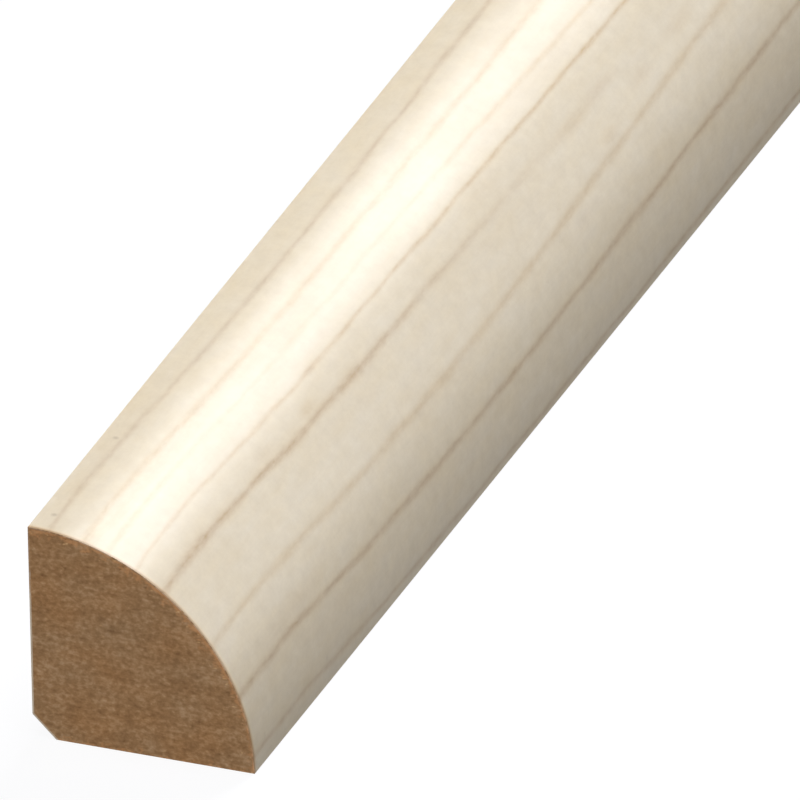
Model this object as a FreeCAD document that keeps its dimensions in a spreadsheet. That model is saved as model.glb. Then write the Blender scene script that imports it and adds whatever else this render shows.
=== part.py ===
import FreeCAD, Part
import math
import os
import Sketcher
from FreeCAD import Vector

# Quarter round moulding: a fibreboard core wrapped in a printed decor foil.
# Millimetres. +X points out from the wall, +Y runs along the stick and +Z is up.
# The origin is on the floor under the middle of the stick, half a leg out from
# the wall, so the corner of wall and floor lies half a leg away in -X.
# The foil covers the round face, the wall side and the chamfer. The floor side
# is bare fibreboard, and the foil ends flush with it at both edges.

SIZES = {
    "leg": 19,  # reach along the floor, height on the wall and radius of the face
    "stock_length": 2400,
    "chamfer_leg": 2,  # taken off each side at the hidden corner of wall and floor
    "foil_thickness": 0.15,
}

# A sketch's own horizontal axis, its origin, and the points of a line or an arc.
AXIS = -1
ORIGIN = (-1, 1)
START, END, CENTRE = 1, 2, 3


def make_sheet(doc):
    """The driving dimensions, each in a cell with its own alias."""
    sheet = doc.addObject("Spreadsheet::Sheet", "Sizes")
    for row, (alias, value) in enumerate(SIZES.items(), start=1):
        sheet.set(f"A{row}", alias)
        sheet.set(f"B{row}", str(value))
        sheet.setAlias(f"B{row}", alias)
    doc.recompute()
    return sheet


def new_section(body):
    """A sketch across the stick, with its X along +X and its Y up."""
    sketch = body.newObject("Sketcher::SketchObject", f"{body.Name}_section")
    plane = next(f for f in body.Origin.OriginFeatures if f.Role == "XZ_Plane")
    sketch.AttachmentSupport = [(plane, "")]
    sketch.MapMode = "FlatFace"
    return sketch


def bind(sketch, name, formula, kind, *places):
    """Adds a dimension that follows a formula of the sheet's sizes."""
    index = sketch.addConstraint(Sketcher.Constraint(kind, *places))
    sketch.renameConstraint(index, name)
    sketch.setExpression(f"Constraints.{name}", formula)


def draw_skin_line(sketch, sheet, name, inset):
    """Face arc, wall line and chamfer line, an inset inside the outer surface.

    The inset is the alias of a size, or None for the outer surface itself.
    Returns the arc, which starts at the floor toe, and the chamfer line, which
    ends on the floor.
    """
    depth = sheet.get(inset) if inset else 0
    offset = f"Sizes.{inset}" if inset else "0"
    corner = -sheet.leg / 2
    radius = sheet.leg - depth
    wall_top = Vector(corner + depth, math.sqrt(radius**2 - depth**2), 0)
    wall_foot = Vector(corner + depth, sheet.chamfer_leg + depth * (math.sqrt(2) - 1), 0)
    floor_end = Vector(corner + sheet.chamfer_leg + depth * math.sqrt(2), 0, 0)

    circle = Part.Circle(Vector(corner, 0, 0), Vector(0, 0, 1), radius)
    arc = sketch.addGeometry(Part.ArcOfCircle(circle, 0, math.atan2(wall_top.y, depth)))
    wall = sketch.addGeometry(Part.LineSegment(wall_top, wall_foot))
    chamfer = sketch.addGeometry(Part.LineSegment(wall_foot, floor_end))

    for rule in (
        Sketcher.Constraint("PointOnObject", arc, CENTRE, AXIS),
        Sketcher.Constraint("PointOnObject", arc, START, AXIS),
        Sketcher.Constraint("Coincident", arc, END, wall, START),
        Sketcher.Constraint("Vertical", wall),
        Sketcher.Constraint("Coincident", wall, END, chamfer, START),
        Sketcher.Constraint("PointOnObject", chamfer, END, AXIS),
    ):
        sketch.addConstraint(rule)

    bind(sketch, f"{name}_corner", "Sizes.leg / 2",
         "DistanceX", arc, CENTRE, *ORIGIN, -corner)
    bind(sketch, f"{name}_radius", f"Sizes.leg - {offset}",
         "Radius", arc, radius)
    bind(sketch, f"{name}_wall", f"Sizes.leg / 2 - {offset}",
         "DistanceX", wall, START, *ORIGIN, -wall_top.x)
    bind(sketch, f"{name}_chamfer_height", f"Sizes.chamfer_leg + {offset} * (sqrt(2) - 1)",
         "DistanceY", *ORIGIN, wall, END, wall_foot.y)
    bind(sketch, f"{name}_chamfer_reach",
         f"Sizes.leg / 2 - Sizes.chamfer_leg - {offset} * sqrt(2)",
         "DistanceX", chamfer, END, *ORIGIN, -floor_end.x)
    return arc, chamfer


def close_along_floor(sketch, first, first_point, last, last_point):
    """A straight line at floor level between two points of the section."""
    begin = sketch.getPoint(first, first_point)
    finish = sketch.getPoint(last, last_point)
    line = sketch.addGeometry(Part.LineSegment(begin, finish))
    sketch.addConstraint(Sketcher.Constraint("Coincident", line, START, first, first_point))
    sketch.addConstraint(Sketcher.Constraint("Coincident", line, END, last, last_point))


def run_along_stick(body, sketch):
    """Carries the section the length of the stick, half of it to each side."""
    pad = body.newObject("PartDesign::Pad", f"{body.Name}_length")
    pad.Profile = sketch
    pad.SideType = "Symmetric"
    pad.setExpression("Length", "Sizes.stock_length")
    body.Tip = pad


def new_body(doc, label):
    body = doc.addObject("PartDesign::Body", label)
    body.Label = label
    body.Placement = FreeCAD.Placement()
    return body


def make_fibreboard_core(doc, sheet):
    """The fibreboard stick that the foil is wrapped round."""
    body = new_body(doc, "fibreboard_core")
    sketch = new_section(body)
    arc, chamfer = draw_skin_line(sketch, sheet, "core", "foil_thickness")
    close_along_floor(sketch, chamfer, END, arc, START)
    run_along_stick(body, sketch)
    return body


def make_decor_foil(doc, sheet):
    """The foil, from the floor toe round the face, the wall side and the chamfer."""
    body = new_body(doc, "decor_foil")
    sketch = new_section(body)
    outer_arc, outer_chamfer = draw_skin_line(sketch, sheet, "outer", None)
    inner_arc, inner_chamfer = draw_skin_line(sketch, sheet, "inner", "foil_thickness")
    close_along_floor(sketch, outer_arc, START, inner_arc, START)
    close_along_floor(sketch, outer_chamfer, END, inner_chamfer, END)
    run_along_stick(body, sketch)
    return body


def check(doc, bodies):
    """Stops if an object failed to build or a piece is not one sound solid."""
    for item in doc.Objects:
        if "Invalid" in item.State or "Error" in item.State:
            raise RuntimeError(f"{item.Label} failed: {item.State}")
    for body in bodies:
        shape = body.Shape
        if shape.isNull() or not shape.isValid() or len(shape.Solids) != 1:
            raise RuntimeError(f"{body.Label} is not one valid solid")


def main():
    doc = FreeCAD.newDocument("quarter_round_moulding")
    sheet = make_sheet(doc)
    bodies = [make_fibreboard_core(doc, sheet), make_decor_foil(doc, sheet)]
    doc.recompute()
    check(doc, bodies)
    os.makedirs("parts", exist_ok=True)
    for body in bodies:
        body.Shape.exportStep(f"parts/{body.Label}.step")
        box = body.Shape.BoundBox
        print(f"{body.Label}: {body.Shape.Volume / 1000:.2f} cm3, "
              f"X {box.XMin:.3f} to {box.XMax:.3f}, Y {box.YMin:.1f} to {box.YMax:.1f}, "
              f"Z {box.ZMin:.3f} to {box.ZMax:.3f}")


main()
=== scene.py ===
"""Quarter round moulding: a fibreboard stick wrapped in maple-print foil, lying on a pale floor.

Metres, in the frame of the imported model: +X out from the wall, +Y along the stick, +Z up.
The stick's near end, which the camera looks at, is the one at the lowest Y. The hidden
corner is the line where wall side and floor side would meet, and the centre of the face.
Patterns are drawn in millimetres, along the stick from its near end and round it from the
toe of the face on the floor.
"""

import math
from typing import NamedTuple

import bmesh
import bpy
from bpy.props import FloatProperty, FloatVectorProperty, PointerProperty
from bpy.types import Operator, Panel, PropertyGroup
from mathutils import Matrix, Vector, noise


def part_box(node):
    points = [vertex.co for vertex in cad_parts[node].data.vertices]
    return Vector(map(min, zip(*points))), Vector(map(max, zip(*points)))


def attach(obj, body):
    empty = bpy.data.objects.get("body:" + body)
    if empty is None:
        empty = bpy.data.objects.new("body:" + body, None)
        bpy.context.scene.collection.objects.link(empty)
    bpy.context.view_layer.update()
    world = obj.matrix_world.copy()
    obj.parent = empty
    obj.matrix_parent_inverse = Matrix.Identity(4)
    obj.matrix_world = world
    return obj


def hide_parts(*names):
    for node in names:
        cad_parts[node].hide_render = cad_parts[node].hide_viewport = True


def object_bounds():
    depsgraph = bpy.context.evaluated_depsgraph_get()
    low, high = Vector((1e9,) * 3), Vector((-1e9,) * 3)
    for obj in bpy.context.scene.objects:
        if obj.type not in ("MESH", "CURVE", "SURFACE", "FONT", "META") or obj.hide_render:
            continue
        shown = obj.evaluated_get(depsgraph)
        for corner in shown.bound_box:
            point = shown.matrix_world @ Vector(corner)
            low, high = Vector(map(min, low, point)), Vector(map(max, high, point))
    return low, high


bl_info = {
    "name": "Quarter Round Moulding",
    "version": (1, 0, 0),
    "blender": (4, 5, 0),
    "location": "View3D > Sidebar > Moulding",
    "description": "Foil-wrapped fibreboard quarter round, cut to length, on a studio floor",
    "category": "Add Mesh",
}

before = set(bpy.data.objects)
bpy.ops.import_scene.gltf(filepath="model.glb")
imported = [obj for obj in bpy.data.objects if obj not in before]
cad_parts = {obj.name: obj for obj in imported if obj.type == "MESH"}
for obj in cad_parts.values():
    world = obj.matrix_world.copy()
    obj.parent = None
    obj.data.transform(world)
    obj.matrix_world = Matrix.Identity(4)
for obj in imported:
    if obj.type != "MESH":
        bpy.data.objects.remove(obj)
CAD_LOW, CAD_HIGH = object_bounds()
FOIL_LOW, FOIL_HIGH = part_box("decor_foil")
FOIL_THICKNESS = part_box("fibreboard_core")[0].x - FOIL_LOW.x

BODY = "root"
MM = 0.001
NEAR_Y = FOIL_LOW.y
CORNER_X = FOIL_LOW.x  # the hidden corner, on the floor
TOUCH = 1e-6  # closer than this, a point lies on a surface

FACE_STEPS = 72  # flats round the quarter circle of the face
BOARD_STEPS = 100  # strips across the sawn board, from the chamfer to the face
FOLD_STEPS = 3  # flats round each fold of the foil
FOLD_TURN = 0.3  # radians; the foil is folded where it turns by more
FOIL_CREASE = math.radians(24)  # edges that turn by more stay crisp in the shading
BOARD_CREASE = math.radians(40)
ENDWAYS = 0.9  # a face whose normal points so much along the stick lies across its end
PITTED_ENDWAYS = 0.5  # and the same on a pitted end
CHAMFER_ZONE = 1.2  # chamfer legs; where way out and height add up to less, the chamfer is near
CLEAN_EDGE_END = (12.5, 15.0)  # millimetres up the wall side, where the foil's clean cut edge ends

PICTURE_SIDE = 800  # pixels of the square picture
CORNER_PIXEL = (33.03, 735.71)  # where the near end's hidden corner shows in it
LENS_DISTANCE = 1.0
FLOOR_REACH = 12.0
FLOOR_DROP = 0.01 * MM  # keeps the floor's surface clear of the stick's underside

# The bake page, in pixels, and the stretch of foil that it shows larger than the rest.
BAKE_PAGE = 1024
PAGE_MARGIN = 3
PAGE_WIDTH = BAKE_PAGE - 2 * PAGE_MARGIN
FINE_STRETCH = 127 * MM
FOIL_FINE = 8 / MM  # pixels a metre on that stretch
BOARD_FINE = 22 / MM  # pixels a metre on the board's sawn ends
FOIL_ROWS = 5  # rows for the rest of the foil
FLOOR_ROWS = 8  # rows for the board's floor side
FOIL_BACK = 12  # height of the strip for the glued back of the foil
BOARD_BACK = 40  # height of the strip for the glued sides of the board
CUT_EDGE = 4  # height of a strip for a cut edge of the foil
CUT_PITCH = 6  # from one such strip to the next

# The sawn ends: size of a pit and of a saw mark in millimetres, and shares of the full depth.
PIT_LONG, PIT_HIGH = 0.55, 0.38
PIT_ROUGHNESS, PIT_LACUNARITY, PIT_OCTAVES = 0.9, 2.2, 3
PIT_MEAN, PIT_SHARE = 0.42, 0.55
MARK_LONG, MARK_HIGH, MARK_SLANT = 14, 1.1, 9
MARK_SHARE = 0.16
PIT_SEED = 3.3

# Depth of the fine relief that is only shaded.
PRINT_RELIEF = 0.0015 * MM
FIBRE_RELIEF = 0.06 * MM

# Millimetres along the stick over which the print's lines leave the wave that they share,
# and over which they come to wander as they like.
DRIFT_RUN = (45.0, 120.0)
OPEN_RUN = (95.0, 260.0)


class StudioLamp(NamedTuple):
    """A distant soft lamp: the way to it from the stick, and how wide it looks."""

    name: str
    direction: tuple
    width: float  # degrees


STUDIO_LAMPS = (
    StudioLamp("softbox", (0.095, 0.807, 0.583), 23),
    StudioLamp("top", (0.23, -0.155, 0.96), 50),
    StudioLamp("side", (0.39, 0.92, 0.04), 50),
    StudioLamp("front", (0.10, -0.985, 0.14), 14),
    StudioLamp("wall", (-0.85, -0.20, 0.49), 50),
)


class GrainLine(NamedTuple):
    """A dark line of the printed maple, in millimetres round the print and shares of full strength."""

    place: float  # where it starts at the near end
    drift: float  # how far it has left the shared wave at the end of the drift run
    near: float  # strength at the near end
    far: float  # strength past its change
    warmth: float  # 0 grey-brown, 1 yellow-brown, and past 1 more yellow
    width: float = 1.0  # share of the usual width
    turning: tuple = (0.0, 100.0)  # where along the stick the strength changes


FACE_LINES = (
    GrainLine(27.95, 0.5, 0.60, 0.76, 0.1),
    GrainLine(25.05, -0.2, 0.74, 0.74, 0.9, width=1.2),
    GrainLine(22.87, -1.5, 0.34, 0.66, 1.25, width=0.95, turning=(50.0, 90.0)),
    GrainLine(20.25, -0.83, 0.72, 1.18, 0.9, width=0.8),
    GrainLine(17.35, -1.0, 1.24, 0.06, 0.4, width=1.25, turning=(28.0, 92.0)),
    GrainLine(11.52, 1.75, 0.64, 0.72, 0.9, width=1.35),
    GrainLine(6.75, 1.15, 0.95, 0.98, 0.35, width=1.2),
    GrainLine(1.45, 0.3, 0.67, 0.92, 0.4),
)
WALL_LINES = (
    GrainLine(32.40, 0.6, 0.55, 0.30, 0.2),
    GrainLine(35.10, -0.8, 0.25, 0.60, 0.8),
    GrainLine(39.30, 0.9, 0.90, 0.70, 0.4),
    GrainLine(43.60, -0.5, 0.40, 0.55, 0.6),
    GrainLine(47.20, 0.4, 0.60, 0.35, 0.3),
)
# The wave that all lines share, as (along, sideways) points of a curve, from the near end.
SHARED_WAVE = ((0, 0.0), (9, 0.28), (17, 0.05), (30, -0.48), (45, -0.78), (75, -0.95), (120, -0.8))
WAVE_REACH = 1.2  # the curve holds sideways values up to this, either way
SEED_STEP = 40.0  # between the seeds of two lines
SHADOW_SHARE = 0.08  # strength of the soft shadow beside a line
SHADOW_FALL = 1.4  # how fast it fades, per millimetre


class Smudge(NamedTuple):
    """A soft darker patch of the printed maple, in millimetres."""

    along: float
    round: float
    long: float  # half its length
    wide: float  # half its width
    strength: float
    warmth: float


SMUDGE_RIM = 1.6  # half lengths from its middle to where a smudge has faded
SMUDGES = (
    # The first, second and fourth darken the print in long soft bands near the near end; the first and
    # fourth lie along the highlight.
    Smudge(10.0, 24.35, 20.0, 0.85, 0.34, 0.9),
    Smudge(4.0, 28.70, 22.0, 0.85, 0.15, 0.1),
    Smudge(7.0, 23.05, 9.0, 0.35, 0.40, 1.8),
    Smudge(62.0, 23.55, 16.0, 0.70, 0.22, 0.9),
    Smudge(31.8, 17.75, 1.5, 0.50, 0.55, 1.0),
    Smudge(35.9, 19.60, 1.0, 0.30, 0.60, 0.2),
    Smudge(23.1, 18.20, 2.0, 0.60, 0.25, 0.6),
    Smudge(12.0, 8.20, 7.0, 1.00, 0.20, 0.5),
    Smudge(69.4, 18.30, 3.5, 1.00, 0.25, 1.0),
    Smudge(84.7, 15.70, 3.0, 0.60, 0.40, 1.0),
    Smudge(90.3, 15.85, 3.0, 0.55, 0.35, 0.2),
    Smudge(87.5, 12.75, 2.0, 0.60, 0.45, 1.0),
    Smudge(96.0, 13.85, 1.8, 0.55, 0.42, 0.3),
    Smudge(104.0, 14.30, 2.0, 0.60, 0.38, 0.8),
    Smudge(78.0, 9.95, 2.5, 0.60, 0.20, 0.1),
)


class Speck(NamedTuple):
    """A pin speck of the printed maple, in millimetres."""

    along: float
    round: float
    strength: float


SPECK_CORE, SPECK_RIM = 0.05, 0.38  # where a speck starts to fade, and where it has faded
SPECK_TINT = (0.62, 0.57, 0.53)
SPECKS = (
    Speck(2.6, 28.60, 0.52),
    Speck(16.0, 28.65, 0.52),
    Speck(2.6, 2.20, 0.16),
    Speck(16.0, 2.20, 0.20),
)


class Patch(NamedTuple):
    """A place on the bake page for part of a surface, in pixels and pixels a metre."""

    left: float
    bottom: float
    start_along: float
    start_across: float
    fine_along: float
    fine_across: float

    def point(self, along, across):
        u = self.left + (along - self.start_along) * self.fine_along
        v = self.bottom + (across - self.start_across) * self.fine_across
        return u / BAKE_PAGE, v / BAKE_PAGE


def chamfer_of_frame():
    """The chamfer's height on the wall side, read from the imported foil."""
    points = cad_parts["decor_foil"].data.vertices
    return min(v.co.z for v in points if v.co.x < FOIL_LOW.x + TOUCH)


class MouldingSizes(PropertyGroup):
    """Sizes of the stick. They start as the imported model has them."""

    leg: FloatProperty(
        name="Leg",
        description="Reach along the floor, height on the wall and radius of the face",
        default=FOIL_HIGH.z - FOIL_LOW.z, min=0.005, unit="LENGTH", subtype="DISTANCE", precision=5)
    stock_length: FloatProperty(
        name="Length", description="Length of the stick",
        default=FOIL_HIGH.y - FOIL_LOW.y, min=0.2, unit="LENGTH", subtype="DISTANCE")
    foil: FloatProperty(
        name="Foil", description="Thickness of the foil with its glue line",
        default=FOIL_THICKNESS, min=0.00002, unit="LENGTH", subtype="DISTANCE", precision=5)
    chamfer: FloatProperty(
        name="Chamfer", description="Taken off each side at the hidden corner",
        default=chamfer_of_frame(), min=0.0005, unit="LENGTH", subtype="DISTANCE", precision=5)
    fold: FloatProperty(
        name="Fold", description="Rounding of the foil where it turns a sharp edge",
        default=0.04 * MM, min=0.00001, unit="LENGTH", subtype="DISTANCE", precision=5)
    saw_relief: FloatProperty(
        name="Saw relief", description="Depth of the pits that the saw leaves in the board",
        default=0.05 * MM, min=0.0, unit="LENGTH", subtype="DISTANCE", precision=5)


class FoilLook(PropertyGroup):
    """Colours and gloss of the printed foil."""

    ground: FloatVectorProperty(
        name="Ground", description="Pale wood between the grain lines",
        default=(0.795, 0.688, 0.520), min=0.0, max=1.0, size=3, subtype="COLOR")
    line_grey: FloatVectorProperty(
        name="Grey-brown line", description="What a cool grain line leaves of the ground",
        default=(0.815, 0.750, 0.700), min=0.0, max=1.0, size=3, subtype="COLOR")
    line_warm: FloatVectorProperty(
        name="Yellow-brown line", description="What a warm grain line leaves of the ground",
        default=(0.86, 0.78, 0.66), min=0.0, max=1.0, size=3, subtype="COLOR")
    line_strength: FloatProperty(
        name="Line strength", description="Strength of all grain lines",
        default=1.0, min=0.0, max=3.0, subtype="FACTOR")
    line_width: FloatProperty(
        name="Line width", description="Half width of a grain line's core",
        default=0.27 * MM, min=0.00001, unit="LENGTH", subtype="DISTANCE", precision=5)
    roughness: FloatProperty(
        name="Roughness", description="Roughness of the satin lacquer",
        default=0.34, min=0.0, max=1.0, subtype="FACTOR")
    frayed: FloatVectorProperty(
        name="Frayed print", description="What the saw leaves of the print right at a sawn end",
        default=(0.53, 0.40, 0.255), min=0.0, max=1.0, size=3, subtype="COLOR")
    frayed_reach: FloatProperty(
        name="Frayed reach", description="How far from a sawn end the print is frayed",
        default=0.30 * MM, min=0.00001, unit="LENGTH", subtype="DISTANCE", precision=5)
    warmed: FloatVectorProperty(
        name="Warmed print", description="What the heat of the saw leaves of the print near a sawn end",
        default=(1.0, 0.87, 0.71), min=0.0, max=1.0, size=3, subtype="COLOR")
    warmed_reach: FloatProperty(
        name="Warmed reach", description="How far from a sawn end the print is warmed",
        default=0.55 * MM, min=0.00001, unit="LENGTH", subtype="DISTANCE", precision=5)
    sawn_paper: FloatVectorProperty(
        name="Sawn foil", description="Clean edge of the foil where the saw cut it",
        default=(0.41, 0.34, 0.26), min=0.0, max=1.0, size=3, subtype="COLOR")
    glue: FloatVectorProperty(
        name="Glue", description="Glue line between foil and board",
        default=(0.42, 0.205, 0.085), min=0.0, max=1.0, size=3, subtype="COLOR")


class BoardLook(PropertyGroup):
    """Colours of the fibreboard."""

    fibre_mean: FloatVectorProperty(
        name="Fibre", description="Mean colour of the sawn board",
        default=(0.227, 0.124, 0.0535), min=0.0, max=1.0, size=3, subtype="COLOR")
    fibre_dark: FloatVectorProperty(
        name="Dark fibre", description="Colour of the darkest fibres",
        default=(0.108, 0.050, 0.019), min=0.0, max=1.0, size=3, subtype="COLOR")
    fibre_pale: FloatVectorProperty(
        name="Pale fibre", description="Colour of the palest fibres",
        default=(0.44, 0.295, 0.175), min=0.0, max=1.0, size=3, subtype="COLOR")
    crumb: FloatVectorProperty(
        name="Crumb", description="Colour of the resin crumbs, most of them near the face",
        default=(0.52, 0.33, 0.16), min=0.0, max=1.0, size=3, subtype="COLOR")


class StageLook(PropertyGroup):
    """Camera, lamps and floor."""

    azimuth: FloatProperty(
        name="Azimuth", description="Camera's turn about the stick, from straight at its near end",
        default=math.radians(22.475), subtype="ANGLE", unit="ROTATION")
    elevation: FloatProperty(
        name="Elevation", description="Camera's height above the horizon",
        default=math.radians(28.872), subtype="ANGLE", unit="ROTATION")
    roll: FloatProperty(
        name="Roll", description="Lean of the camera's top to its right",
        default=math.radians(1.514), subtype="ANGLE", unit="ROTATION")
    view_width: FloatProperty(
        name="View width", description="Width that the parallel view shows",
        default=63.681 * MM, min=0.001, unit="LENGTH", subtype="DISTANCE", precision=5)
    softbox_light: FloatProperty(
        name="Softbox", description="Light from behind and above, which gives the face its highlight",
        default=0.565, min=0.0, max=10.0)
    top_light: FloatProperty(
        name="Top light", description="Light from straight above",
        default=0.237, min=0.0, max=10.0)
    side_light: FloatProperty(
        name="Side light", description="Low light from the room's side, past the stick's far end",
        default=0.485, min=0.0, max=10.0)
    front_light: FloatProperty(
        name="Front light", description="Light on the sawn end",
        default=0.74, min=0.0, max=10.0)
    wall_light: FloatProperty(
        name="Wall light", description="Light on the side that goes to the wall",
        default=0.40, min=0.0, max=10.0)
    room_light: FloatProperty(
        name="Room light", description="Light that comes evenly from all round",
        default=0.05, min=0.0, max=10.0)
    floor_colour: FloatVectorProperty(
        name="Floor", description="Floor's own colour, which throws light back on the stick",
        default=(0.138, 0.142, 0.158), min=0.0, max=1.0, size=3, subtype="COLOR")
    floor_glow: FloatProperty(
        name="Floor white", description="White that the floor shows the camera besides its own colour",
        default=0.885, min=0.0, max=1.0, subtype="FACTOR")
    floor_mirrored: FloatProperty(
        name="Floor mirrored", description="Share of the floor's white that shows in reflections",
        default=0.30, min=0.0, max=1.0, subtype="FACTOR")


class MouldingSettings(PropertyGroup):
    """All that a user may change."""

    sizes: PointerProperty(type=MouldingSizes)
    foil: PointerProperty(type=FoilLook)
    board: PointerProperty(type=BoardLook)
    stage: PointerProperty(type=StageLook)


def add_node(tree, kind, inputs=None, **options):
    """Adds a node with its options set, and each input set to a value or linked to a socket."""
    node = tree.nodes.new(kind)
    for name, value in options.items():
        setattr(node, name, value)
    for name, value in (inputs or {}).items():
        if isinstance(value, bpy.types.NodeSocket):
            tree.links.new(value, node.inputs[name])
        else:
            node.inputs[name].default_value = value
    return node


def maths(tree, operation, *values, clamp=False):
    inputs = dict(enumerate(values))
    return add_node(tree, "ShaderNodeMath", inputs, operation=operation, use_clamp=clamp).outputs[0]


def vectors(tree, operation, *values, result="Vector"):
    inputs = dict(enumerate(values))
    return add_node(tree, "ShaderNodeVectorMath", inputs, operation=operation).outputs[result]


def ramp(tree, value, start, end, low=0.0, high=1.0, smooth=True):
    """Goes from low at start to high at end, and stays there on either side."""
    kind = "SMOOTHSTEP" if smooth else "LINEAR"
    inputs = {"Value": value, "From Min": start, "From Max": end, "To Min": low, "To Max": high}
    return add_node(tree, "ShaderNodeMapRange", inputs, interpolation_type=kind).outputs["Result"]


def blend_colours(tree, share, first, second, how="MIX", clamp=True):
    node = add_node(
        tree, "ShaderNodeMix", data_type="RGBA", blend_type=how, clamp_factor=clamp)
    for place, value in (("Factor_Float", share), ("A_Color", first), ("B_Color", second)):
        socket = next(s for s in node.inputs if s.identifier == place)
        if isinstance(value, bpy.types.NodeSocket):
            tree.links.new(value, socket)
        elif isinstance(value, float):
            socket.default_value = value
        else:
            socket.default_value = (*value, 1.0)
    return next(s for s in node.outputs if s.identifier == "Result_Color")


def cloud(tree, place, cell, detail=2.0, roughness=0.5, seed=0.0):
    """Noise about 0.5 whose blots measure about cell, three lengths in the place's own unit."""
    scaled = vectors(tree, "MULTIPLY", place, tuple(1 / c for c in cell))
    inputs = {"Vector": scaled, "W": seed, "Scale": 1.0, "Detail": detail, "Roughness": roughness}
    return add_node(tree, "ShaderNodeTexNoise", inputs, noise_dimensions="4D").outputs[0]


def new_group(name, inputs, outputs):
    """A node group with its sockets, given as (name, type), and its two ends."""
    tree = bpy.data.node_groups.new(name, "ShaderNodeTree")
    for direction, sockets in (("INPUT", inputs), ("OUTPUT", outputs)):
        for label, kind in sockets:
            tree.interface.new_socket(label, in_out=direction, socket_type=kind)
    source = tree.nodes.new("NodeGroupInput").outputs
    sink = tree.nodes.new("NodeGroupOutput").inputs
    return tree, source, sink


def shared_group(name, build):
    """The node group of a name, built the first time that it is asked for."""
    return bpy.data.node_groups.get(name) or build(name)


def use_group(tree, group, inputs):
    """Places a node group in a tree, with its inputs set or linked."""
    return add_node(tree, "ShaderNodeGroup", inputs, node_tree=group).outputs


def new_material(name, shine=0.5):
    """A material, with its Principled shader set to a specular level."""
    material = bpy.data.materials.new(name)
    material.use_nodes = True
    tree = material.node_tree
    shader = next(n for n in tree.nodes if n.type == "BSDF_PRINCIPLED")
    shader.inputs["Specular IOR Level"].default_value = shine
    return material, tree, shader


def raise_relief(tree, shader, height, strength, relief):
    inputs = {"Height": height, "Strength": strength, "Distance": relief}
    bump = add_node(tree, "ShaderNodeBump", inputs)
    tree.links.new(bump.outputs[0], shader.inputs["Normal"])


def opaque(colour):
    return (*colour, 1.0)


def build_grain_line(name):
    """Draws one dark line along the print over a colour.

    A line has a soft core, and a faint shadow on the side of the top toe, where the late
    wood builds up.
    """
    number, colour = "NodeSocketFloat", "NodeSocketColor"
    tree, given, made = new_group(
        name,
        [("Colour", colour), ("Tint", colour), ("Along", number), ("Round", number),
         ("Place", number), ("Drift", number), ("Near", number), ("Far", number),
         ("Turn Start", number), ("Turn End", number), ("Width", number), ("Beads", number),
         ("Seed", number)],
        [("Colour", colour)])
    along = given["Along"]
    opened = ramp(tree, along, *OPEN_RUN)

    def wander(low, high, length, seed):
        """A value that changes at random along the stick, about once in a length."""
        seed = maths(tree, "ADD", given["Seed"], seed)
        at = maths(tree, "ADD", maths(tree, "DIVIDE", along, length), seed)
        inputs = {"W": at, "Scale": 1.0, "Detail": 1.0}
        curve = add_node(tree, "ShaderNodeTexNoise", inputs, noise_dimensions="1D").outputs[0]
        return ramp(tree, curve, 0.25, 0.75, low, high, smooth=False)

    drift = maths(tree, "MULTIPLY", given["Drift"], ramp(tree, along, *DRIFT_RUN))
    roaming = maths(tree, "MULTIPLY", wander(-1.6, 1.6, length=190.0, seed=11.3), opened)
    wobble = wander(-0.07, 0.07, length=7.0, seed=3.7)
    centre = maths(tree, "ADD", maths(tree, "ADD", given["Place"], drift), roaming)
    centre = maths(tree, "ADD", centre, wobble)
    off = maths(tree, "SUBTRACT", given["Round"], centre)

    thinning = wander(0.80, 1.25, length=11.0, seed=7.9)
    steps = maths(tree, "DIVIDE", off, maths(tree, "MULTIPLY", given["Width"], thinning))
    steps = maths(tree, "MULTIPLY", steps, steps)
    core = maths(tree, "EXPONENT", maths(tree, "MULTIPLY", steps, -1.0))
    core = maths(tree, "MULTIPLY", core, given["Beads"])
    above = maths(tree, "GREATER_THAN", off, 0.0)
    away = maths(tree, "ABSOLUTE", off)
    fall = maths(tree, "EXPONENT", maths(tree, "MULTIPLY", away, -SHADOW_FALL))
    shadow = maths(tree, "MULTIPLY", maths(tree, "MULTIPLY", above, fall), SHADOW_SHARE)
    profile = maths(tree, "ADD", core, shadow)

    tuned = ramp(tree, along, given["Turn Start"], given["Turn End"], given["Near"], given["Far"])
    free = wander(-0.15, 1.35, length=230.0, seed=23.1)
    strength = maths(
        tree, "ADD", tuned,
        maths(tree, "MULTIPLY", maths(tree, "SUBTRACT", free, tuned), opened))
    swell = wander(0.82, 1.18, length=4.5, seed=17.7)
    strength = maths(tree, "MULTIPLY", maths(tree, "MAXIMUM", strength, 0.0), swell)

    share = maths(tree, "MULTIPLY", strength, profile)
    drawn = blend_colours(tree, share, given["Colour"], given["Tint"], "MULTIPLY", clamp=False)
    tree.links.new(drawn, made["Colour"])
    return tree


def shared_wave(tree, along):
    """How far all grain lines lie to the side at a place along the stick."""
    reach = SHARED_WAVE[-1][0]
    share = maths(tree, "DIVIDE", along, float(reach))
    node = add_node(tree, "ShaderNodeFloatCurve", {"Value": share})
    curve = node.mapping.curves[0]
    unit = [(x / reach, 0.5 + y / WAVE_REACH / 2) for x, y in SHARED_WAVE]
    curve.points[0].location, curve.points[-1].location = unit[0], unit[-1]
    for point in unit[1:-1]:
        curve.points.new(*point)
    node.mapping.update()
    drawn = maths(tree, "SUBTRACT", node.outputs[0], 0.5)
    drawn = maths(tree, "MULTIPLY", drawn, 2 * WAVE_REACH)
    inputs = {"W": maths(tree, "DIVIDE", along, 150.0), "Scale": 1.0, "Detail": 1.0}
    slow = add_node(tree, "ShaderNodeTexNoise", inputs, noise_dimensions="1D").outputs[0]
    free = ramp(tree, slow, 0.2, 0.8, -1.8, 1.8, smooth=False)
    free = maths(tree, "MULTIPLY", free, ramp(tree, along, *OPEN_RUN))
    return maths(tree, "ADD", drawn, free)


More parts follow.
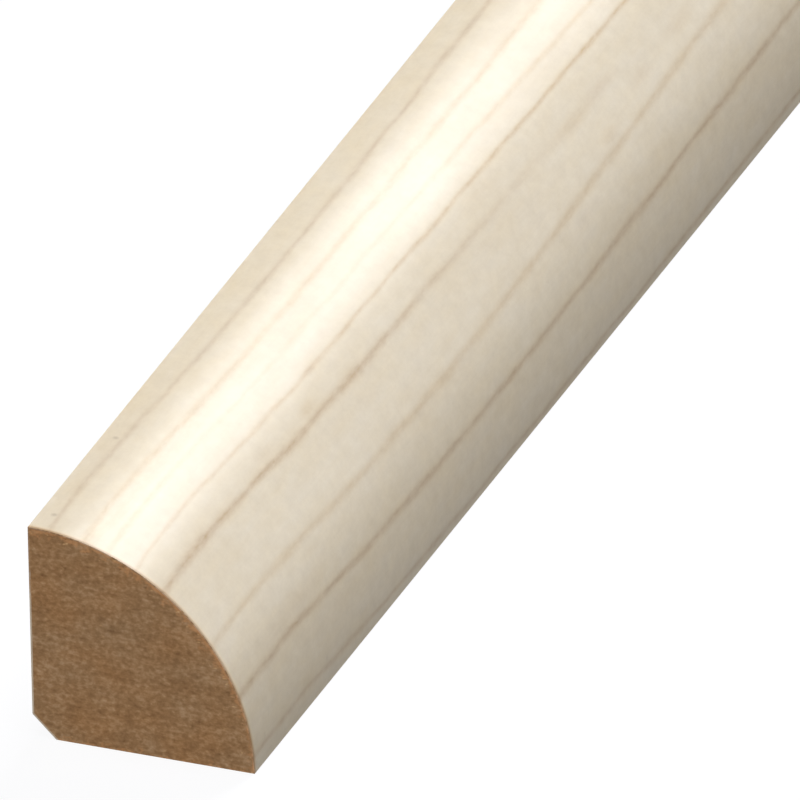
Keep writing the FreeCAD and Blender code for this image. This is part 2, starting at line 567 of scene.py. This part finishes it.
def mottle(tree, field, colour, paler):
    """Makes a colour paler where a noise about 0.5 is low, and as much darker where it is high."""
    darker = tuple(2 - channel for channel in paler)
    tone = blend_colours(tree, ramp(tree, field, 0.3, 0.7, smooth=False), paler, darker)
    return blend_colours(tree, 1.0, colour, tone, "MULTIPLY")


def tint_of(look, warmth):
    """What a line or smudge of a warmth leaves of the ground at full strength."""
    return tuple(Vector(look.line_grey).lerp(Vector(look.line_warm), warmth))


def make_maple_foil(look, sizes):
    """The printed and lacquered face of the foil: pale maple with fine grain lines."""
    material, tree, shader = new_material("maple_foil", shine=0.3)
    print_map = add_node(tree, "ShaderNodeUVMap", uv_map="print").outputs["UV"]
    parts = add_node(tree, "ShaderNodeSeparateXYZ", {0: print_map}).outputs
    along, around = parts["X"], parts["Y"]

    blots = cloud(tree, print_map, (26.0, 4.0, 1.0), detail=3.0, roughness=0.55)
    fibres = cloud(tree, print_map, (3.0, 0.25, 1.0), detail=3.0, roughness=0.6, seed=4.0)
    flecks = cloud(tree, print_map, (1.7, 1.4, 1.0), detail=4.0, roughness=0.72, seed=8.0)
    tinges = cloud(tree, print_map, (5.0, 1.8, 1.0), detail=2.0, roughness=0.6, seed=18.0)
    colour = look.ground
    for field, paler in ((blots, (1.022, 1.030, 1.042)), (fibres, (1.012, 1.015, 1.020)),
                         (flecks, (1.053, 1.062, 1.074)), (tinges, (1.002, 1.014, 1.045))):
        colour = mottle(tree, field, colour, paler)

    group = shared_group("grain_line", build_grain_line)
    beads = cloud(tree, print_map, (1.1, 0.35, 1.0), detail=2.0, roughness=0.6, seed=14.0)
    beads = ramp(tree, beads, 0.3, 0.7, 0.65, 1.35, smooth=False)
    level = maths(tree, "SUBTRACT", around, shared_wave(tree, along))
    for number, line in enumerate(FACE_LINES + WALL_LINES):
        colour = use_group(tree, group, {
            "Colour": colour, "Tint": opaque(tint_of(look, line.warmth)), "Along": along,
            "Round": level, "Place": line.place, "Drift": line.drift,
            "Near": line.near * look.line_strength, "Far": line.far * look.line_strength,
            "Turn Start": line.turning[0], "Turn End": line.turning[1],
            "Width": line.width * look.line_width / MM, "Beads": beads,
            "Seed": SEED_STEP * number})["Colour"]

    for smudge in SMUDGES:
        gap = vectors(tree, "SUBTRACT", print_map, (smudge.along, smudge.round, 0.0))
        gap = vectors(tree, "MULTIPLY", gap, (1 / smudge.long, 1 / smudge.wide, 0.0))
        gap = vectors(tree, "LENGTH", gap, result="Value")
        share = ramp(tree, gap, 0.0, SMUDGE_RIM, smudge.strength, 0.0)
        share = maths(tree, "MULTIPLY", share, beads)
        colour = blend_colours(tree, share, colour, tint_of(look, smudge.warmth), "MULTIPLY")

    for speck in SPECKS:
        middle = (speck.along, speck.round, 0.0)
        gap = vectors(tree, "DISTANCE", print_map, middle, result="Value")
        share = ramp(tree, gap, SPECK_CORE, SPECK_RIM, speck.strength, 0.0)
        colour = blend_colours(tree, share, colour, SPECK_TINT, "MULTIPLY")

    to_far_end = maths(tree, "SUBTRACT", sizes.stock_length / MM, along)
    to_end = maths(tree, "MINIMUM", along, to_far_end)
    for tint, reach in ((look.warmed, look.warmed_reach), (look.frayed, look.frayed_reach)):
        share = ramp(tree, to_end, 0.0, reach / MM, 1.0, 0.0, smooth=False)
        colour = blend_colours(tree, share, colour, tint, "MULTIPLY")

    height = maths(tree, "MULTIPLY", fibres, 0.7)
    height = maths(tree, "ADD", height, maths(tree, "MULTIPLY", flecks, 0.3))
    raise_relief(tree, shader, height, 1.0, PRINT_RELIEF)
    satin = ramp(tree, blots, 0.3, 0.7, look.roughness - 0.03, look.roughness + 0.03)
    tree.links.new(colour, shader.inputs["Base Color"])
    tree.links.new(satin, shader.inputs["Roughness"])
    return material


def build_fibres(name):
    """Matted wood fibres, which lie flat in the board, in its warmer and its greyer stretches.

    The value is about 0.5, and low for dark fibres.
    """
    number, colour = "NodeSocketFloat", "NodeSocketColor"
    tree, given, made = new_group(
        name,
        [("Place", "NodeSocketVector"), ("Mean", colour), ("Dark", colour), ("Pale", colour)],
        [("Colour", colour), ("Value", number)])
    place = given["Place"]
    mat = cloud(tree, place, (0.46, 0.46, 0.34), detail=3.0, roughness=0.62)
    bundles = cloud(tree, place, (1.9, 1.9, 0.36), detail=2.0, roughness=0.5, seed=5.0)
    layers = cloud(tree, place, (5.0, 5.0, 2.5), detail=2.0, roughness=0.5, seed=9.0)
    value = maths(tree, "MULTIPLY", mat, 0.61)
    value = maths(tree, "ADD", value, maths(tree, "MULTIPLY", bundles, 0.22))
    value = maths(tree, "ADD", value, maths(tree, "MULTIPLY", layers, 0.17))
    dark = ramp(tree, value, 0.50, 0.27, 0.0, 1.0, smooth=False)
    pale = ramp(tree, value, 0.50, 0.84, 0.0, 1.0, smooth=False)
    drawn = blend_colours(tree, dark, given["Mean"], given["Dark"])
    drawn = blend_colours(tree, pale, drawn, given["Pale"])
    broad = cloud(tree, place, (4.5, 4.5, 3.5), detail=2.0, roughness=0.5, seed=31.0)
    drawn = mottle(tree, broad, drawn, (1.04, 0.985, 0.91))
    tree.links.new(drawn, made["Colour"])
    tree.links.new(value, made["Value"])
    return tree


def use_fibres(tree, place, look):
    """The board's own colour and fibre value at a place."""
    return use_group(tree, shared_group("matted_fibres", build_fibres), {
        "Place": place, "Mean": opaque(look.fibre_mean), "Dark": opaque(look.fibre_dark),
        "Pale": opaque(look.fibre_pale)})


def place_in_section(tree):
    """The point in millimetres, with its way out from the hidden corner and its height."""
    place = add_node(tree, "ShaderNodeTexCoord").outputs["Object"]
    place = vectors(tree, "MULTIPLY", place, (1 / MM, 1 / MM, 1 / MM))
    parts = add_node(tree, "ShaderNodeSeparateXYZ", {0: place}).outputs
    out = maths(tree, "SUBTRACT", parts["X"], CORNER_X / MM)
    return place, out, parts["Z"]


def reach_of(tree, out, height):
    """Distance from the hidden corner, in millimetres."""
    squares = [maths(tree, "MULTIPLY", side, side) for side in (out, height)]
    return maths(tree, "SQRT", maths(tree, "ADD", *squares))


def make_fibreboard(look, foil_look, sizes):
    """Sawn fibreboard, a little resin-stained where the glue of the foil has soaked in."""
    material, tree, shader = new_material("fibreboard", shine=0.25)
    place, out, height = place_in_section(tree)
    board = use_fibres(tree, place, look)
    colour, fibres = board["Colour"], board["Value"]

    rim = (sizes.leg - sizes.foil) / MM
    patches = cloud(tree, place, (0.75, 0.75, 0.6), detail=3.0, roughness=0.65, seed=13.0)
    depth = maths(tree, "SUBTRACT", rim, reach_of(tree, out, height))
    soaked = maths(tree, "ADD", depth, ramp(tree, patches, 0.32, 0.68, -0.6, 0.7, smooth=False))
    soaked = maths(tree, "ADD", soaked, ramp(tree, height, 3.0, 13.0, 0.15, 0.0))
    stain = ramp(tree, soaked, -0.15, 0.66, 0.66, 0.0)
    stain = maths(tree, "MULTIPLY", stain, ramp(tree, height, 1.0, 12.0, 0.45, 1.0))
    floor_stain = maths(tree, "ADD", height, ramp(tree, patches, 0.3, 0.7, -0.2, 0.9))
    stain = maths(tree, "MAXIMUM", stain, ramp(tree, floor_stain, 0.05, 0.7, 0.45, 0.0))
    colour = blend_colours(tree, stain, colour, foil_look.glue)

    bits = cloud(tree, place, (0.75, 0.75, 0.38), detail=2.0, seed=21.0)
    close = ramp(tree, depth, 0.4, 1.1, 0.85, 0.22)
    crumbs = maths(tree, "MULTIPLY", ramp(tree, bits, 0.62, 0.74), close)
    colour = blend_colours(tree, crumbs, colour, look.crumb)
    # Dark specks near the face: painted shade of small pits in the sawn board.
    pit_shade = maths(tree, "MULTIPLY", ramp(tree, bits, 0.37, 0.28), maths(tree, "MULTIPLY", close, 0.8))
    colour = blend_colours(tree, pit_shade, colour, look.fibre_dark)

    raise_relief(tree, shader, fibres, 0.7, FIBRE_RELIEF)
    tree.links.new(colour, shader.inputs["Base Color"])
    tree.links.new(ramp(tree, fibres, 0.3, 0.7, 0.96, 0.84), shader.inputs["Roughness"])
    return material


def make_foil_edge(foil_look, board_look, sizes):
    """The foil's cut edge and glued back: paper on a glue line, smeared with board dust in places."""
    material, tree, shader = new_material("foil_edge", shine=0.3)
    place, out, height = place_in_section(tree)
    board = use_fibres(tree, place, board_look)
    reach = reach_of(tree, out, height)
    leg, foil, chamfer = sizes.leg / MM, sizes.foil / MM, sizes.chamfer / MM

    smears = cloud(tree, place, (0.6, 0.6, 0.6), detail=2.0, roughness=0.6, seed=41.0)
    on_face = blend_colours(
        tree, ramp(tree, smears, 0.34, 0.60, 0.1, 1.0), foil_look.glue, board["Colour"])
    torn = ramp(tree, smears, 0.58, 0.44, 0.1, 0.7)
    torn = maths(tree, "MULTIPLY", torn, ramp(tree, height, 4.0, 13.0, 0.4, 1.0))
    torn = maths(tree, "MULTIPLY", torn, ramp(tree, reach, leg - foil, leg))
    on_face = blend_colours(tree, torn, on_face, foil_look.sawn_paper)

    ragged = maths(tree, "ADD", height, ramp(tree, board["Value"], 0.3, 0.7, -2.0, 2.0))
    dust = ramp(tree, ragged, *CLEAN_EDGE_END, 0.12, 0.9)
    on_chamfer = ramp(tree, height, chamfer, chamfer - 0.3, 0.0, 0.2)
    dust = maths(tree, "MAXIMUM", dust, on_chamfer)
    on_wall = blend_colours(tree, dust, foil_look.sawn_paper, board["Colour"])

    by_wall = ramp(tree, out, 0.9, 1.5, 1.0, 0.0)
    by_corner = ramp(tree, reach, 2.5 * chamfer, 2.6 * chamfer, 1.0, 0.0)
    below_top = ramp(tree, height, leg - foil, leg, 1.0, 0.0)
    wall = maths(tree, "MULTIPLY", maths(tree, "MAXIMUM", by_wall, by_corner), below_top)
    tree.links.new(blend_colours(tree, wall, on_face, on_wall), shader.inputs["Base Color"])
    shader.inputs["Roughness"].default_value = 0.85
    return material


def camera_and_mirrors(tree):
    """Two values: 1 on the camera's rays, and 1 on rays in mirrors and glass."""
    rays = add_node(tree, "ShaderNodeLightPath").outputs
    mirrors = maths(tree, "MAXIMUM", rays["Is Glossy Ray"], rays["Is Transmission Ray"])
    return rays["Is Camera Ray"], mirrors


def make_floor(look):
    """Pale floor that shows white to the camera and in reflections, and keeps the shadow."""
    material, tree, shader = new_material("studio_floor")
    tree.nodes.remove(shader)
    output = next(n for n in tree.nodes if n.type == "OUTPUT_MATERIAL")
    plain = add_node(tree, "ShaderNodeBsdfDiffuse", {"Color": opaque(look.floor_colour)})
    camera, mirrors = camera_and_mirrors(tree)
    mirrors = maths(tree, "MULTIPLY", mirrors, look.floor_mirrored)
    white = maths(tree, "MULTIPLY", maths(tree, "MAXIMUM", camera, mirrors), look.floor_glow)
    glow = add_node(tree, "ShaderNodeEmission", {"Strength": white})
    both = add_node(tree, "ShaderNodeAddShader", {0: plain.outputs[0], 1: glow.outputs[0]})
    tree.links.new(both.outputs[0], output.inputs["Surface"])
    return material


def make_sky(look):
    """Light that comes evenly from all round, and shows white to the camera and in reflections."""
    world = bpy.data.worlds.new("studio")
    world.use_nodes = True
    tree = world.node_tree
    sky = next(n for n in tree.nodes if n.type == "BACKGROUND")
    seen = maths(tree, "MAXIMUM", *camera_and_mirrors(tree))
    white = ramp(tree, seen, 0.0, 1.0, look.room_light, 1.0, smooth=False)
    sky.inputs["Color"].default_value = opaque((1, 1, 1))
    tree.links.new(white, sky.inputs["Strength"])
    return world


def wall_meeting(sizes, inset):
    """Angle about the hidden corner at which the face, moved in by an inset, meets the wall side."""
    return math.acos(inset / (sizes.leg - inset))


def skin_points(sizes, inset):
    """Toe of the face, foot of the wall side and end of the chamfer, an inset inside the surface."""
    toe = Vector((CORNER_X + sizes.leg - inset, NEAR_Y, 0))
    wall_foot = Vector((CORNER_X + inset, NEAR_Y, sizes.chamfer + inset * (math.sqrt(2) - 1)))
    floor_end = Vector((CORNER_X + sizes.chamfer + inset * math.sqrt(2), NEAR_Y, 0))
    return toe, wall_foot, floor_end


def spin_face(bm, toe, angle):
    """Draws the quarter circle of the face up from its toe, and returns its last point."""
    start = bm.verts.new(toe)
    spun = bmesh.ops.spin(
        bm, geom=[start], cent=(CORNER_X, NEAR_Y, 0), axis=(0, -1, 0), angle=angle, steps=FACE_STEPS)
    return next(g for g in spun["geom_last"] if isinstance(g, bmesh.types.BMVert))


def draw_on(bm, last, target):
    """Draws a straight line from the last point to a target, and returns the new last point."""
    last = bmesh.ops.extrude_vert_indiv(bm, verts=[last])["verts"][0]
    last.co = target
    return last


def run_along(bm, section, stops):
    """Carries the section's faces along the stick, with a ring of edges at each stop."""
    here = NEAR_Y
    for number, stop in enumerate(stops):
        geometry = list(section)
        if number == 0:
            geometry += list({e for f in section for e in f.edges})
        grown = bmesh.ops.extrude_face_region(bm, geom=geometry, use_keep_orig=number == 0)["geom"]
        points = [g for g in grown if isinstance(g, bmesh.types.BMVert)]
        bmesh.ops.translate(bm, verts=points, vec=(0, stop - here, 0))
        section = [g for g in grown if isinstance(g, bmesh.types.BMFace)]
        here = stop
    bmesh.ops.recalc_face_normals(bm, faces=bm.faces)


def shade_smooth(bm, sharpest):
    """Smooth shading, with every edge sharper than an angle kept crisp."""
    for face in bm.faces:
        face.smooth = True
    for edge in bm.edges:
        edge.smooth = edge.calc_face_angle(math.pi) < sharpest


def round_the_stick(point, sizes):
    """Distance round the surface from the floor toe, over the face, the wall side and the chamfer."""
    out, height = point.x - CORNER_X, point.z
    if out + height < sizes.chamfer * CHAMFER_ZONE:
        down_wall = sizes.leg * (math.pi / 2 + 1) - sizes.chamfer
        return down_wall + out * math.sqrt(2)
    return sizes.leg * math.atan2(height, out) + sizes.leg - math.hypot(out, height)


def depth_below(point, sizes):
    """How far a point lies inside the outer surface."""
    out, height = point.x - CORNER_X, point.z
    to_chamfer = (out + height - sizes.chamfer) / math.sqrt(2)
    return min(out, to_chamfer, sizes.leg - math.hypot(out, height))


def girth_of(sizes):
    return sizes.leg * (math.pi / 2 + 1) + sizes.chamfer * (math.sqrt(2) - 1)


def evenly(start, end, count):
    """The ends of count equal stretches from start to end."""
    return [start + (end - start) * (n + 1) / count for n in range(count)]


def lay_on(face, layer, patch, measure):
    """Lays a face on its patch of the bake page. measure gives a point's place along and across."""
    for loop in face.loops:
        loop[layer].uv = patch.point(*measure(loop.vert.co))


def page_rows(count, bottom, start_along, length, start_across, width):
    """Rows for equal stretches of a surface, how long each stretch is, and the rows' top."""
    stretch = length / count
    scale = PAGE_WIDTH / stretch
    pitch = width * scale + PAGE_MARGIN
    rows = [
        Patch(PAGE_MARGIN, bottom + n * pitch, start_along + n * stretch, start_across, scale, scale)
        for n in range(count)]
    return rows, stretch, bottom + count * pitch


def lay_out_foil(bm, sizes):
    """The bake page of the foil: the near stretch large, the rest in rows, the hidden faces small."""
    layer = bm.loops.layers.uv.new("OFBake")
    girth, length = girth_of(sizes), sizes.stock_length
    near = Patch(PAGE_MARGIN, PAGE_MARGIN, 0, 0, FOIL_FINE, FOIL_FINE)
    rows, row_length, back_bottom = page_rows(
        FOIL_ROWS, girth * FOIL_FINE + 2 * PAGE_MARGIN, FINE_STRETCH, length - FINE_STRETCH, 0, girth)
    thin, whole = CUT_EDGE / sizes.foil, PAGE_WIDTH / length
    back = Patch(PAGE_MARGIN, back_bottom, 0, 0, whole, FOIL_BACK / girth)
    ends_bottom = back_bottom + FOIL_BACK + CUT_PITCH - CUT_EDGE
    edges_bottom = ends_bottom + 2 * CUT_PITCH
    ends, edges = (
        [Patch(PAGE_MARGIN, bottom + CUT_PITCH * n, 0, 0, scale, thin) for n in range(2)]
        for bottom, scale in ((ends_bottom, PAGE_WIDTH / girth), (edges_bottom, whole)))

    def flat(point):
        return point.y - NEAR_Y, round_the_stick(point, sizes)

    def across_end(point):
        return round_the_stick(point, sizes), depth_below(point, sizes)

    def along_floor(point):
        return point.y - NEAR_Y, depth_below(point, sizes)

    for face in bm.faces:
        middle = face.calc_center_median()
        along = middle.y - NEAR_Y
        if abs(face.normal.y) > ENDWAYS:
            lay_on(face, layer, ends[int(along > length / 2)], across_end)
        elif middle.z < TOUCH:
            lay_on(face, layer, edges[int(middle.x < 0)], along_floor)
        elif depth_below(middle, sizes) > sizes.foil / 2:
            lay_on(face, layer, back, flat)
        elif along < FINE_STRETCH:
            lay_on(face, layer, near, flat)
        else:
            lay_on(face, layer, rows[int((along - FINE_STRETCH) / row_length)], flat)


def map_print(bm, sizes):
    """The print's own map, in millimetres along the stick and round it."""
    layer = bm.loops.layers.uv.new("print")
    for face in bm.faces:
        for loop in face.loops:
            point = loop.vert.co
            loop[layer].uv = (point.y - NEAR_Y) / MM, round_the_stick(point, sizes) / MM


def model_foil(sizes):
    """The foil: outer and inner line of its section bridged, carried along and folded at its edges."""
    bm = bmesh.new()
    for inset in (0, sizes.foil):
        toe, wall_foot, floor_end = skin_points(sizes, inset)
        last = spin_face(bm, toe, wall_meeting(sizes, inset))
        for target in (wall_foot, floor_end):
            last = draw_on(bm, last, target)
    section = bmesh.ops.bridge_loops(bm, edges=bm.edges)["faces"]
    fine_end = NEAR_Y + FINE_STRETCH
    run_along(bm, section, [fine_end, *evenly(fine_end, NEAR_Y + sizes.stock_length, FOIL_ROWS)])

    def turns_outside(edge):
        runs = abs(edge.verts[0].co.y - edge.verts[1].co.y) > TOUCH
        outside = all(abs(depth_below(v.co, sizes)) < TOUCH for v in edge.verts)
        off_floor = edge.verts[0].co.z > TOUCH
        return runs and outside and off_floor and edge.calc_face_angle(0) > FOLD_TURN

    folds = [e for e in bm.edges if turns_outside(e)]
    bmesh.ops.bevel(
        bm, geom=folds, offset=sizes.fold, segments=FOLD_STEPS, profile=0.5,
        affect="EDGES", material=-1)
    for face in bm.faces:
        on_skin = all(depth_below(v.co, sizes) < sizes.foil / 2 for v in face.verts)
        printed = on_skin and abs(face.normal.y) < ENDWAYS
        face.material_index = 0 if printed else 1
    shade_smooth(bm, FOIL_CREASE)
    map_print(bm, sizes)
    lay_out_foil(bm, sizes)
    return bm


def pitted(point, sizes, seed):
    """How deep the sawn end of the board lies at a point: fibres torn out, and faint saw marks."""
    at = Vector((point.x / MM, seed, point.z / MM))
    pit = Vector((at.x / PIT_LONG, seed, at.z / PIT_HIGH))
    torn = noise.fractal(pit, PIT_ROUGHNESS, PIT_LACUNARITY, PIT_OCTAVES)
    mark = Vector((at.x / MARK_LONG + at.z / MARK_SLANT, seed + 7, at.z / MARK_HIGH))
    depth = PIT_MEAN + PIT_SHARE * torn + MARK_SHARE * noise.noise(mark)
    return sizes.saw_relief * min(1.0, max(0.0, depth))


def lay_out_core(bm, sizes):
    """The bake page of the core: its two sawn ends large, its floor side in rows, the rest small."""
    layer = bm.loops.layers.uv.new("OFBake")
    length, leg = sizes.stock_length, sizes.leg
    end_pitch = leg * BOARD_FINE + 2 * PAGE_MARGIN
    ends = [
        Patch(PAGE_MARGIN + n * end_pitch, PAGE_MARGIN, CORNER_X, 0, BOARD_FINE, BOARD_FINE)
        for n in range(2)]
    rows, row_length, back_bottom = page_rows(
        FLOOR_ROWS, end_pitch + PAGE_MARGIN, 0, length, CORNER_X, leg)
    back = Patch(
        PAGE_MARGIN, back_bottom, 0, 0, PAGE_WIDTH / length, BOARD_BACK / girth_of(sizes))
    for face in bm.faces:
        middle = face.calc_center_median()
        along = middle.y - NEAR_Y
        if abs(face.normal.y) > PITTED_ENDWAYS:
            lay_on(face, layer, ends[int(along > length / 2)], lambda p: (p.x, p.z))
        elif middle.z < TOUCH:
            lay_on(face, layer, rows[int(along / row_length)], lambda p: (p.y - NEAR_Y, p.x))
        else:
            lay_on(face, layer, back, lambda p: (p.y - NEAR_Y, round_the_stick(p, sizes)))


def model_core(sizes):
    """The board: chamfer and face bridged and cut into rings, carried along, pitted at both ends."""
    bm = bmesh.new()
    toe, wall_foot, floor_end = skin_points(sizes, sizes.foil)
    draw_on(bm, bm.verts.new(floor_end), wall_foot)
    bmesh.ops.subdivide_edges(bm, edges=bm.edges, cuts=FACE_STEPS - 1)
    spin_face(bm, toe, wall_meeting(sizes, sizes.foil))
    rims = set(bm.edges)
    bmesh.ops.bridge_loops(bm, edges=bm.edges)
    across = [e for e in bm.edges if e not in rims]
    bmesh.ops.subdivide_edges(bm, edges=across, cuts=BOARD_STEPS - 1, use_grid_fill=True)
    run_along(bm, list(bm.faces), evenly(NEAR_Y, NEAR_Y + sizes.stock_length, FLOOR_ROWS))
    for vert in bm.verts:
        sawn = all(abs(f.normal.y) > ENDWAYS for f in vert.link_faces)
        if sawn:
            inward = 1 if vert.co.y < 0 else -1
            vert.co.y += inward * pitted(vert.co, sizes, PIT_SEED + inward)
    shade_smooth(bm, BOARD_CREASE)
    lay_out_core(bm, sizes)
    return bm


def new_piece(name, bm, materials):
    """A mesh object at the origin, in place of an earlier one of its name."""
    old = bpy.data.objects.get(name)
    if old is not None:
        bpy.data.objects.remove(old)
    mesh = bpy.data.meshes.new(name)
    bm.to_mesh(mesh)
    bm.free()
    for material in materials:
        mesh.materials.append(material)
    piece = bpy.data.objects.new(name, mesh)
    bpy.context.scene.collection.objects.link(piece)
    return piece


class MOULDING_OT_core(Operator):
    """Model the fibreboard core with its sawn ends"""

    bl_idname = "moulding.core"
    bl_label = "Fibreboard core"
    bl_options = {"REGISTER", "UNDO"}

    def execute(self, context):
        settings = context.scene.moulding
        material = make_fibreboard(settings.board, settings.foil, settings.sizes)
        core = new_piece("sawn_core", model_core(settings.sizes), [material])
        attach(core, BODY)
        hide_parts("fibreboard_core")
        return {"FINISHED"}


class MOULDING_OT_foil(Operator):
    """Model the printed foil that is wrapped round the core"""

    bl_idname = "moulding.foil"
    bl_label = "Maple foil"
    bl_options = {"REGISTER", "UNDO"}

    def execute(self, context):
        settings = context.scene.moulding
        materials = [
            make_maple_foil(settings.foil, settings.sizes),
            make_foil_edge(settings.foil, settings.board, settings.sizes)]
        foil = new_piece("foil_wrap", model_foil(settings.sizes), materials)
        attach(foil, BODY)
        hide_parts("decor_foil")
        return {"FINISHED"}


def towards(azimuth, elevation):
    """The way to a place round the stick: azimuth 0 faces the near end, 90 degrees the face."""
    return Vector((
        math.sin(azimuth) * math.cos(elevation),
        -math.cos(azimuth) * math.cos(elevation),
        math.sin(elevation)))


def set_camera(look):
    """A parallel view in which the near end's hidden corner falls on its pixel."""
    back = towards(look.azimuth, look.elevation)
    level = Vector((math.cos(look.azimuth), math.sin(look.azimuth), 0))
    upright = back.cross(level)
    right = level * math.cos(look.roll) - upright * math.sin(look.roll)
    up = back.cross(right)
    pixel = look.view_width / PICTURE_SIDE
    centre = Vector((CORNER_X, NEAR_Y, 0))
    centre += right * (PICTURE_SIDE / 2 - CORNER_PIXEL[0]) * pixel
    centre += up * (CORNER_PIXEL[1] - PICTURE_SIDE / 2) * pixel
    data = bpy.data.cameras.new("picture_camera")
    data.type = "ORTHO"
    data.ortho_scale = look.view_width
    data.clip_start = LENS_DISTANCE / 100
    data.clip_end = 4 * FLOOR_REACH
    camera = bpy.data.objects.new("picture_camera", data)
    turn = Matrix((right, up, back)).transposed().to_4x4()
    camera.matrix_world = Matrix.Translation(centre + back * LENS_DISTANCE) @ turn
    bpy.context.scene.collection.objects.link(camera)
    bpy.context.scene.camera = camera


def add_lamp(lamp, light):
    """Adds a distant lamp. A light of 1 shows a colour as it is written, where it falls square on."""
    data = bpy.data.lights.new(lamp.name, "SUN")
    data.energy = light * math.pi
    data.angle = math.radians(lamp.width)
    direction = Vector(lamp.direction).normalized()
    turn = direction.to_track_quat("Z", "Y").to_matrix().to_4x4()
    lamp_object = bpy.data.objects.new(lamp.name, data)
    lamp_object.matrix_world = Matrix.Translation(direction) @ turn
    bpy.context.scene.collection.objects.link(lamp_object)


class MOULDING_OT_stage(Operator):
    """Set the floor, the lamps and the camera"""

    bl_idname = "moulding.stage"
    bl_label = "Studio"
    bl_options = {"REGISTER", "UNDO"}

    def execute(self, context):
        look = context.scene.moulding.stage
        set_camera(look)
        for lamp in STUDIO_LAMPS:
            add_lamp(lamp, getattr(look, f"{lamp.name}_light"))

        bm = bmesh.new()
        bmesh.ops.create_grid(
            bm, x_segments=1, y_segments=1, size=FLOOR_REACH,
            matrix=Matrix.Translation((0, 0, CAD_LOW.z - FLOOR_DROP)))
        floor = new_piece("studio_floor", bm, [make_floor(look)])
        context.scene.world = make_sky(look)
        context.scene.view_settings.view_transform = "Standard"
        return {"FINISHED"}


class MOULDING_PT_panel(Panel):
    """Sizes, colours and steps of the moulding"""

    bl_idname = "MOULDING_PT_panel"
    bl_label = "Quarter Round Moulding"
    bl_space_type = "VIEW_3D"
    bl_region_type = "UI"
    bl_category = "Moulding"

    def draw(self, context):
        settings = context.scene.moulding
        for label, group, operator in (
                ("Sizes", settings.sizes, None),
                ("Fibreboard", settings.board, MOULDING_OT_core),
                ("Foil", settings.foil, MOULDING_OT_foil),
                ("Studio", settings.stage, MOULDING_OT_stage)):
            box = self.layout.box()
            box.label(text=label)
            for name in group.__annotations__:
                box.prop(group, name)
            if operator is not None:
                box.operator(operator.bl_idname)


CLASSES = (
    MouldingSizes, FoilLook, BoardLook, StageLook, MouldingSettings,
    MOULDING_OT_core, MOULDING_OT_foil, MOULDING_OT_stage, MOULDING_PT_panel,
)


def register():
    for cls in CLASSES:
        bpy.utils.register_class(cls)
    bpy.types.Scene.moulding = PointerProperty(type=MouldingSettings)


def unregister():
    del bpy.types.Scene.moulding
    for cls in reversed(CLASSES):
        bpy.utils.unregister_class(cls)


def main():
    register()
    bpy.ops.moulding.stage()
    bpy.ops.moulding.core()
    bpy.ops.moulding.foil()


if __name__ == "__main__":
    main()
